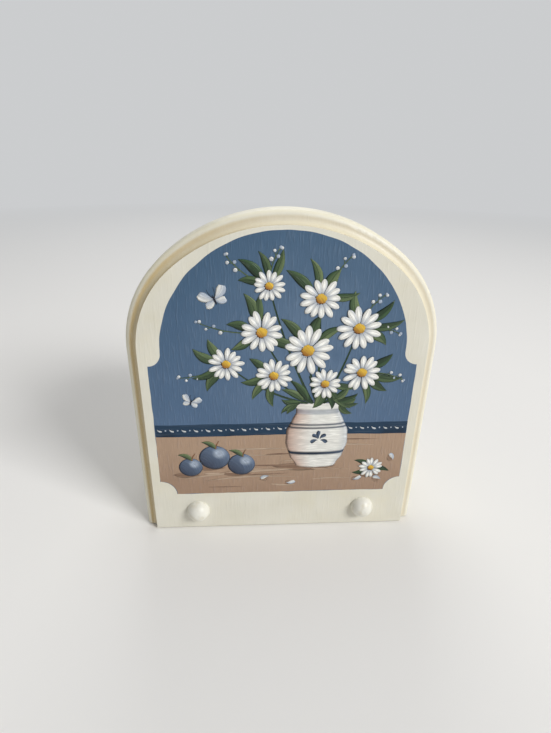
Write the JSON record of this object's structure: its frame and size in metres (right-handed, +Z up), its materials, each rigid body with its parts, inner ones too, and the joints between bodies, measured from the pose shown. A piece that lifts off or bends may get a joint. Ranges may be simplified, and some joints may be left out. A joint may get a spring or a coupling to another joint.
{
  "type": "napkin holder with drawer",
  "caption": "Wooden napkin holder: arched front and back boards with ogee edges, an open well between them, and a shallow drawer that slides out with the front board.",
  "frame": {"origin": "middle of the carcass's underside, on the table", "axes": "+Z up, front board and knobs towards -Y, +X to the right seen from the front"},
  "size_m": [0.178, 0.1072, 0.203],
  "materials": {
    "painted_front": null,
    "cream_paint": "cream paint, satin, brushed",
    "knob_paint": "ivory paint, satin",
    "bare_pine": "bare planed pine",
    "plywood": "bare thin plywood",
    "screw_steel": "zinc-plated wood screws",
    "brad_steel": "bright steel brads"
  },
  "bodies": {
    "carcass": {"back_panel": "cream_paint", "base_board": "cream_paint", "napkin_shelf": "cream_paint", "carcass_side_left": "cream_paint", "carcass_side_right": "cream_paint", "back_brads": "brad_steel", "shelf_brads": "brad_steel", "base_brads": "brad_steel"},
    "drawer": {"drawer_front": "painted_front", "knobs": "knob_paint", "knob_screws": "screw_steel", "drawer_side_left": "bare_pine", "drawer_side_right": "bare_pine", "drawer_back": "bare_pine", "drawer_bottom": "plywood", "drawer_brads": "brad_steel"}
  },
  "joints": [
    {"name": "drawer_slide", "type": "slide", "parent": "carcass", "child": "drawer", "axis": [0, -1, 0], "range_m": [0, 0.05]}
  ]
}
